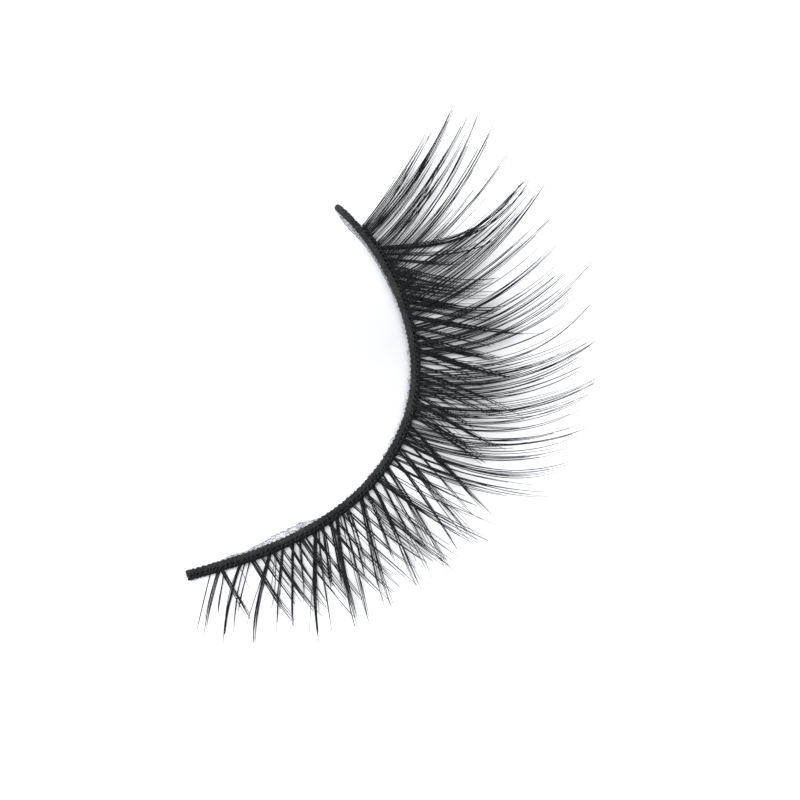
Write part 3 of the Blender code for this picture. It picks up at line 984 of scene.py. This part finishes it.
def binding_thread(first_turn, dice):
    """A thread that winds round the braid and the lash roots together, and closes their gap."""
    turns = BAND_LENGTH / BINDING_PITCH
    steps = np.linspace(0, 1, int(turns * STATIONS_PER_TURN))[None, :]
    share = CUT_END + (OUTER_END_LUMP[0] + BINDING_INTO_LUMP - CUT_END) * steps
    slips = dice.uniform(-BINDING_UNEVENNESS, BINDING_UNEVENNESS, BINDING_SLIPS)
    loose = np.interp(steps, np.linspace(0, 1, BINDING_SLIPS), slips)
    angle = first_turn + steps * turns * 2 * math.pi + loose
    inner = -(BAND_WIDTH / 2 + BINDING_LIFT)
    knotted = THREAD_OFFSET + THREAD_DIAMETER / 2
    outer = np.interp(share, BINDING_NARROWS, [knotted, -inner])
    across = (inner + outer) / 2 + (outer - inner) / 2 * np.cos(angle)
    height = BAND_HEIGHT / 2 + (BAND_HEIGHT / 2 + BINDING_LIFT) * np.sin(angle)
    height = np.maximum(height, BINDING_RADIUS)
    paths = place(share, across, height)
    guide = np.concatenate([band_frame(share)[1], np.zeros((*steps.shape, 1))], axis=-1)
    return paths, np.full(steps.shape, BINDING_RADIUS), guide


binding_turns = round(BAND_LENGTH / BINDING_PITCH, 1)
print("binding threads:", BINDING_THREADS, "with", binding_turns, "turns each")

# %% [markdown]
# ### Fuzz
#
# Spun cotton always has short loose fibres that stand off its edges. Particle hair would do, but
# the same tubes as before do it too, as a plain mesh. Most stand at the back edge, where
# no lashes hide them.

# %% Fuzz
FUZZ_FIBRES = 400
FUZZ_LENGTH = (0.06 * MM, 0.26 * MM)
FUZZ_RADIUS = 0.007 * MM
FUZZ_STATIONS = 6
FUZZ_SIDES = 3
FUZZ_ROOTS = (0.002, 0.998)
FUZZ_AT_BACK = 0.8
FUZZ_LEAN = 0.9
FUZZ_BEND = 0.8
FUZZ_LEVEL = (0.3, 0.9)
FUZZ_RISE = (-0.2, 0.4)


def cotton_fuzz(dice):
    """Short loose fibres that stand off the edges of the band."""
    root = dice.uniform(*FUZZ_ROOTS, FUZZ_FIBRES)[:, None]
    side = np.where(dice.uniform(0, 1, FUZZ_FIBRES) < FUZZ_AT_BACK, -1.0, 1.0)[:, None]
    length = dice.uniform(*FUZZ_LENGTH, FUZZ_FIBRES)[:, None]
    lean = dice.normal(0, FUZZ_LEAN, FUZZ_FIBRES)[:, None]
    bend = dice.normal(0, FUZZ_BEND, FUZZ_FIBRES)[:, None]
    steps = np.linspace(0, 1, FUZZ_STATIONS)[None, :]
    across = side * (BAND_WIDTH / 2 - CORE_INSET / 2 + length * steps)
    share = root + length * (lean * steps + bend * steps**2) / BAND_LENGTH
    level = dice.uniform(*FUZZ_LEVEL, FUZZ_FIBRES)[:, None] * BAND_HEIGHT
    height = level + length * dice.uniform(*FUZZ_RISE, FUZZ_FIBRES)[:, None] * steps
    height = np.maximum(height, FUZZ_RADIUS)
    return place(share, across, height), np.full(share.shape, FUZZ_RADIUS)


print("loose fibres for each mm of band:", round(FUZZ_FIBRES * MM / BAND_LENGTH, 1))

# %% [markdown]
# ### The whole band
#
# Braid, core, binding, fuzz and ends go into one mesh, because on the strip they are one piece of
# cotton. The first UV column numbers them from different starts, so that no two share a tone.

# %% Put the band together
YARN_NUMBERS = {-1: 10, 1: 30}
BINDING_NUMBER = 50
LUMP_NUMBER = 90
FUZZ_NUMBER = 100


def knotted_band(seed):
    """Braid, core, binding threads, fuzz and hardened ends in one mesh."""
    dice = np.random.default_rng(seed)
    strands = Strands()
    for way, first_number in YARN_NUMBERS.items():
        paths, guide = braid_yarns(way)
        radii = np.full(paths.shape[:2], YARN_RADIUS)
        strands.add(paths, radii, YARN_SIDES, guide, first_number + np.arange(len(paths)))
    band_core(strands)
    for thread in range(BINDING_THREADS):
        paths, radii, guide = binding_thread(thread * 2 * math.pi / BINDING_THREADS, dice)
        strands.add(paths, radii, YARN_SIDES, guide, [BINDING_NUMBER + thread])
    fuzz, fuzz_radii = cotton_fuzz(dice)
    strands.add(fuzz, fuzz_radii, FUZZ_SIDES, UP, FUZZ_NUMBER + np.arange(FUZZ_FIBRES))
    for lump in (OUTER_END_LUMP, INNER_END_LUMP):
        paths, radii = end_lump(*lump)
        strands.add(paths, radii, LUMP_SIDES, UP, [LUMP_NUMBER])
    return strands.build("knotted_band", cotton_material)


band = knotted_band(seed=5)
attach(band, "root")
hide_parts("cotton_band")

# %% [markdown]
# ## Dried glue
#
# Clear lash glue was left on the back edge of the band and dried as a thin wrinkled film. It is
# see-through; its creases and its steep outer rim are darkened with painted shade, in place of the
# dark lines that a clear film shows there. Real glass-like transmission would be slow and would
# hardly show on a white table, so the film is made with alpha: low where it is flat, and high in
# the creases and at the rim.

# %% Glue material
GLUE_CLEAR = (0.80, 0.82, 0.87)
# Painted shade: the dark colour of the creases and the rim, in place of the dark lines a clear film
# shows
GLUE_PAINTED_SHADE = (0.06, 0.065, 0.08)
GLUE_THIN_ALPHA = 0.22
GLUE_CREASE_ALPHA = 0.88
GLUE_WRINKLES = (110.0, 2.4, 1.0)
# A crease is a thin line where the wrinkles' noise passes its middle value
GLUE_CREASE = [(0.455, 0.0), (0.50, 1.0), (0.545, 0.0)]
GLUE_RIM_FROM = 0.84
GLUE_RIM_FULL = 0.92
GLUE_GLOSSY = 0.10
GLUE_SATIN = 0.28
GLUE_SHINE = 0.8
GLUE_RELIEF = 0.03 * MM


def dried_glue():
    """A clear film whose creases and rim are darkened with painted shade."""
    recipe = Recipe("dried_clear_glue")
    uv = recipe.add("UVMap", uv_map="along_and_across")
    across = recipe.add("SeparateXYZ", {"Vector": uv.outputs["UV"]}).outputs["Y"]
    stretched = recipe.add("Mapping", {"Vector": uv.outputs["UV"], "Scale": GLUE_WRINKLES})
    wrinkle = recipe.noise(stretched.outputs["Vector"], 1.0)
    crease = recipe.ramp(wrinkle, GLUE_CREASE)
    rim = recipe.ramp(across, [(GLUE_RIM_FROM, 0.0), (GLUE_RIM_FULL, 1.0)])
    # Painted shade, darkest in the creases and at the rim; the film is also more opaque there
    glue_painted_shade_mask = recipe.math("MAXIMUM", crease, rim)
    recipe.set(Base_Color=recipe.ramp(glue_painted_shade_mask, [(0.1, GLUE_CLEAR), (0.9, GLUE_PAINTED_SHADE)]))
    recipe.set(Alpha=recipe.ramp(glue_painted_shade_mask, [(0.0, GLUE_THIN_ALPHA), (1.0, GLUE_CREASE_ALPHA)]))
    recipe.set(Roughness=recipe.ramp(wrinkle, [(0.3, GLUE_GLOSSY), (0.7, GLUE_SATIN)]))
    recipe.bump(wrinkle, GLUE_RELIEF)
    recipe.set(Specular_IOR_Level=GLUE_SHINE)
    return recipe.material


glue_material = dried_glue()
print("material:", glue_material.name, "with", len(glue_material.node_tree.nodes), "nodes")

# %% [markdown]
# ### Where the glue lies
#
# One film lies behind the short lashes, and a narrower one at the outer end. Two columns give each
# film's outline as it shows in the photo: the share of the band, and the width as a share of the
# widest place. A cloth simulation could wrinkle its edge; a smoothed random walk is enough here.

# %% Outline and thickness of a film
GLUE_THICKNESS = 0.12 * MM
INNER_GLUE_WIDTH = 0.50 * MM
OUTER_GLUE_WIDTH = 0.34 * MM
INNER_GLUE = [
    (0.070, 0.15),
    (0.095, 0.45),
    (0.115, 0.30),
    (0.140, 0.55),
    (0.165, 0.75),
    (0.190, 1.00),
    (0.215, 0.90),
    (0.235, 0.95),
    (0.255, 0.55),
    (0.275, 0.15),
]
OUTER_GLUE = [
    (0.790, 0.10),
    (0.815, 0.14),
    (0.840, 0.18),
    (0.870, 0.20),
    (0.900, 0.26),
    (0.930, 0.42),
    (0.955, 0.60),
    (0.974, 0.56),
    (0.990, 0.20),
]
GLUE_STATIONS = 160
GLUE_LANES = 10
NARROWEST_FILM = 0.05
RIPPLE_SPAN = 15
RIPPLE_DEPTH = 0.07
RIPPLE_LIMITS = (0.7, 1.25)
RIM_THICKNESS = 0.25
BUMP_HEIGHT = 0.25
BUMPS_ALONG = 900
BUMPS_ACROSS = 5
BUMPS_LATEST_START = 6
CROWN_FLATNESS = 4


def film_width(shares, table, widest, dice):
    """Width of a film at each share, with an uneven edge."""
    width = widest * np.clip(table_curve(table, shares), NARROWEST_FILM, None)
    ripple = np.cumsum(dice.normal(0, 1, GLUE_STATIONS))
    ripple = ripple - np.convolve(ripple, np.ones(RIPPLE_SPAN) / RIPPLE_SPAN, mode="same")
    width = width * np.clip(1 + RIPPLE_DEPTH * ripple, *RIPPLE_LIMITS)
    return np.minimum(width, widest)


def film_top(shares, lanes, dice):
    """Height of a film's upper side: thin at its rims, bumpy in between."""
    crown = np.sqrt(np.clip(1 - (2 * lanes - 1) ** CROWN_FLATNESS, 0, 1))
    first = dice.uniform(0, BUMPS_LATEST_START)
    wave = shares[:, None] * BUMPS_ALONG + lanes[None, :] * BUMPS_ACROSS + first
    bumps = 1 - BUMP_HEIGHT + BUMP_HEIGHT * np.sin(wave)
    return GLUE_THICKNESS * (RIM_THICKNESS + (1 - RIM_THICKNESS) * crown[None, :] * bumps)


sample_shares = np.linspace(INNER_GLUE[0][0], INNER_GLUE[-1][0], GLUE_STATIONS)
sample_width = film_width(sample_shares, INNER_GLUE, INNER_GLUE_WIDTH, np.random.default_rng(3))
print("inner film is up to", round(sample_width.max() / MM, 2), "mm wide")

# %% [markdown]
# ### Build the films
#
# A film is a sheet with a thickness. A plane with a Solidify modifier would give the same, but this
# one has to lie flat on the table while its upper side swells, so both sides are placed one by one
# and a wall joins them round the rim.

# %% Glue films
GLUE_CLEARANCE = 0.03 * MM


def film_faces():
    """Faces of a film's upper side, of its underside and of the wall round its rim."""
    count = GLUE_STATIONS * GLUE_LANES
    index = np.arange(count).reshape(GLUE_STATIONS, GLUE_LANES)
    quads = np.stack([index[:-1, :-1], index[1:, :-1], index[1:, 1:], index[:-1, 1:]], axis=-1)
    quads = quads.reshape(-1, 4)
    rim = np.concatenate([index[0], index[1:, -1], index[-1, -2::-1], index[-2:0:-1, 0]])
    following = np.roll(rim, -1)
    wall = np.stack([rim, following, following + count, rim + count], axis=-1)
    return np.concatenate([quads, quads[:, ::-1] + count, wall]).tolist()


def face_outward(mesh):
    """Turn all the faces of a closed mesh to its outside."""
    build = bmesh.new()
    build.from_mesh(mesh)
    bmesh.ops.recalc_face_normals(build, faces=build.faces)
    build.to_mesh(mesh)
    build.free()


def glue_film(name, table, widest, seed):
    """A film of dried glue along the back edge of the band."""
    dice = np.random.default_rng(seed)
    shares = np.linspace(table[0][0], table[-1][0], GLUE_STATIONS)
    lanes = np.linspace(0, 1, GLUE_LANES)
    width = film_width(shares, table, widest, dice)
    seat = BAND_WIDTH / 2 + GLUE_CLEARANCE
    distance = -(seat + width[:, None] * lanes[None, :])
    top = film_top(shares, lanes, dice)
    share = shares[:, None] * np.ones(GLUE_LANES)
    upper = place(share, distance, top).reshape(-1, 3)
    lower = place(share, distance, np.zeros_like(top)).reshape(-1, 3)
    film = mesh_object(name, np.concatenate([upper, lower]), film_faces(), glue_material)
    face_outward(film.data)
    marks = np.stack([share, np.broadcast_to(lanes, share.shape)], axis=-1).reshape(-1, 2)
    mark_surface(film.data, "along_and_across", np.concatenate([marks, marks]))
    film.data.shade_smooth()
    print(f"{name}: {len(film.data.polygons)} faces")
    return film


for name, node, table, widest, seed in (
    ("inner_glue_residue", "inner_glue_film", INNER_GLUE, INNER_GLUE_WIDTH, 3),
    ("outer_glue_residue", "outer_glue_film", OUTER_GLUE, OUTER_GLUE_WIDTH, 4),
):
    film = glue_film(name, table, widest, seed)
    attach(film, "root")
    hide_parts(node)

# %% [markdown]
# ## Table
#
# The strip lies on a white table that is lit so brightly that its edge can't be seen. Only a soft
# bluish shade is left on it inside the crescent, and that shade is painted. A third light could
# cast it, but a painted pale blue patch in the table's colour is easier to place and stays soft.

# %% White table
bpy.context.scene.view_settings.view_transform = "Standard"
FLOOR_SIZE = 600 * MM
PAPER_GRAIN = 300
PAPER_WHITE = (0.90, 0.905, 0.92)
PAPER_BRIGHT = (0.92, 0.925, 0.94)
PAPER_ROUGHNESS = 0.9
PAPER_SHINE = 0.1
# Painted shade: a pale blue patch on the table inside the crescent stands in for the soft shade
# there
PAINTED_SHADE_CENTRE = (6.2 * MM, 3.0 * MM, 0.0)
PAINTED_SHADE_RADIUS = 9 * MM
PAINTED_SHADE_COLOUR = (0.495, 0.50, 0.525)
PAINTED_SHADE_FADE = [(0.0, 0.85), (0.75, 0.67), (1.0, 0.0)]


def white_paper_and_painted_shade():
    """White with a fine grain, and painted shade: a pale blue patch that fades out round its
    middle.
    """
    recipe = Recipe("white_table")
    place_on_part = recipe.add("TexCoord").outputs["Object"]
    grain = recipe.noise(place_on_part, PAPER_GRAIN)
    paper = recipe.ramp(grain, [(0.3, PAPER_WHITE), (0.7, PAPER_BRIGHT)])
    # The painted shade is blended into the paper colour, strongest at the patch's centre
    sockets = {0: place_on_part, 1: PAINTED_SHADE_CENTRE}
    away = recipe.add("VectorMath", sockets, operation="DISTANCE").outputs["Value"]
    table_painted_shade_mask = recipe.ramp(recipe.math("DIVIDE", away, PAINTED_SHADE_RADIUS), PAINTED_SHADE_FADE)
    recipe.set(Base_Color=recipe.blend(table_painted_shade_mask, paper, PAINTED_SHADE_COLOUR))
    recipe.set(Roughness=PAPER_ROUGHNESS, Specular_IOR_Level=PAPER_SHINE)
    return recipe.material


def white_floor():
    """One large flat face at the height of the table."""
    half = FLOOR_SIZE / 2
    corners = [(-half, -half, 0), (half, -half, 0), (half, half, 0), (-half, half, 0)]
    floor = mesh_object("white_table", corners, [(0, 1, 2, 3)], white_paper_and_painted_shade())
    floor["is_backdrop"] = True
    return floor


table_top = white_floor()
print("table in mm:", [round(side / MM) for side in table_top.dimensions])

# %% [markdown]
# ## Light
#
# The photo has no hard shadow: the light comes from all round, with a little more from its left.
# A single lamp would draw a shadow of every hair. An even pale world gives light from all round,
# and two large soft lamps leave only a faint shade under the curled lashes.

# %% World and softboxes
WORLD_COLOUR = (0.97, 0.98, 1.0)
WORLD_STRENGTH = 0.9
SOFTBOX_SIZE = 350 * MM
# Name, place in metres, power in watts
SOFTBOXES = [
    ("key_softbox", (-0.15, 0.25, 0.45), 2.0),
    ("fill_softbox", (0.30, -0.10, 0.40), 1.2),
]


def studio_world():
    """Even pale light from all round."""
    world = bpy.data.worlds.new("studio")
    world.use_nodes = True
    background = world.node_tree.nodes["Background"]
    background.inputs["Color"].default_value = (*WORLD_COLOUR, 1.0)
    background.inputs["Strength"].default_value = WORLD_STRENGTH
    bpy.context.scene.world = world


def softbox(name, location, power):
    """A large square lamp that faces the strip."""
    light = bpy.data.lights.new(name, "AREA")
    light.energy = power
    light.size = SOFTBOX_SIZE
    lamp = bpy.data.objects.new(name, light)
    lamp.location = location
    lamp.rotation_euler = (-lamp.location).to_track_quat("-Z", "Y").to_euler()
    bpy.context.scene.collection.objects.link(lamp)


studio_world()
for name, location, power in SOFTBOXES:
    softbox(name, location, power)
    print(name, "with", power, "W, at", round(math.dist(location, (0, 0, 0)) / MM), "mm")

# %% [markdown]
# ## Measure and finish
#
# The last cell measures the dressed strip and prints its box.

# %% Sizes and finish
dressed_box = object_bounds()
dressed_mm = [[round(value / MM, 2) for value in corner] for corner in dressed_box]
print("dressed box in mm:", dressed_mm)
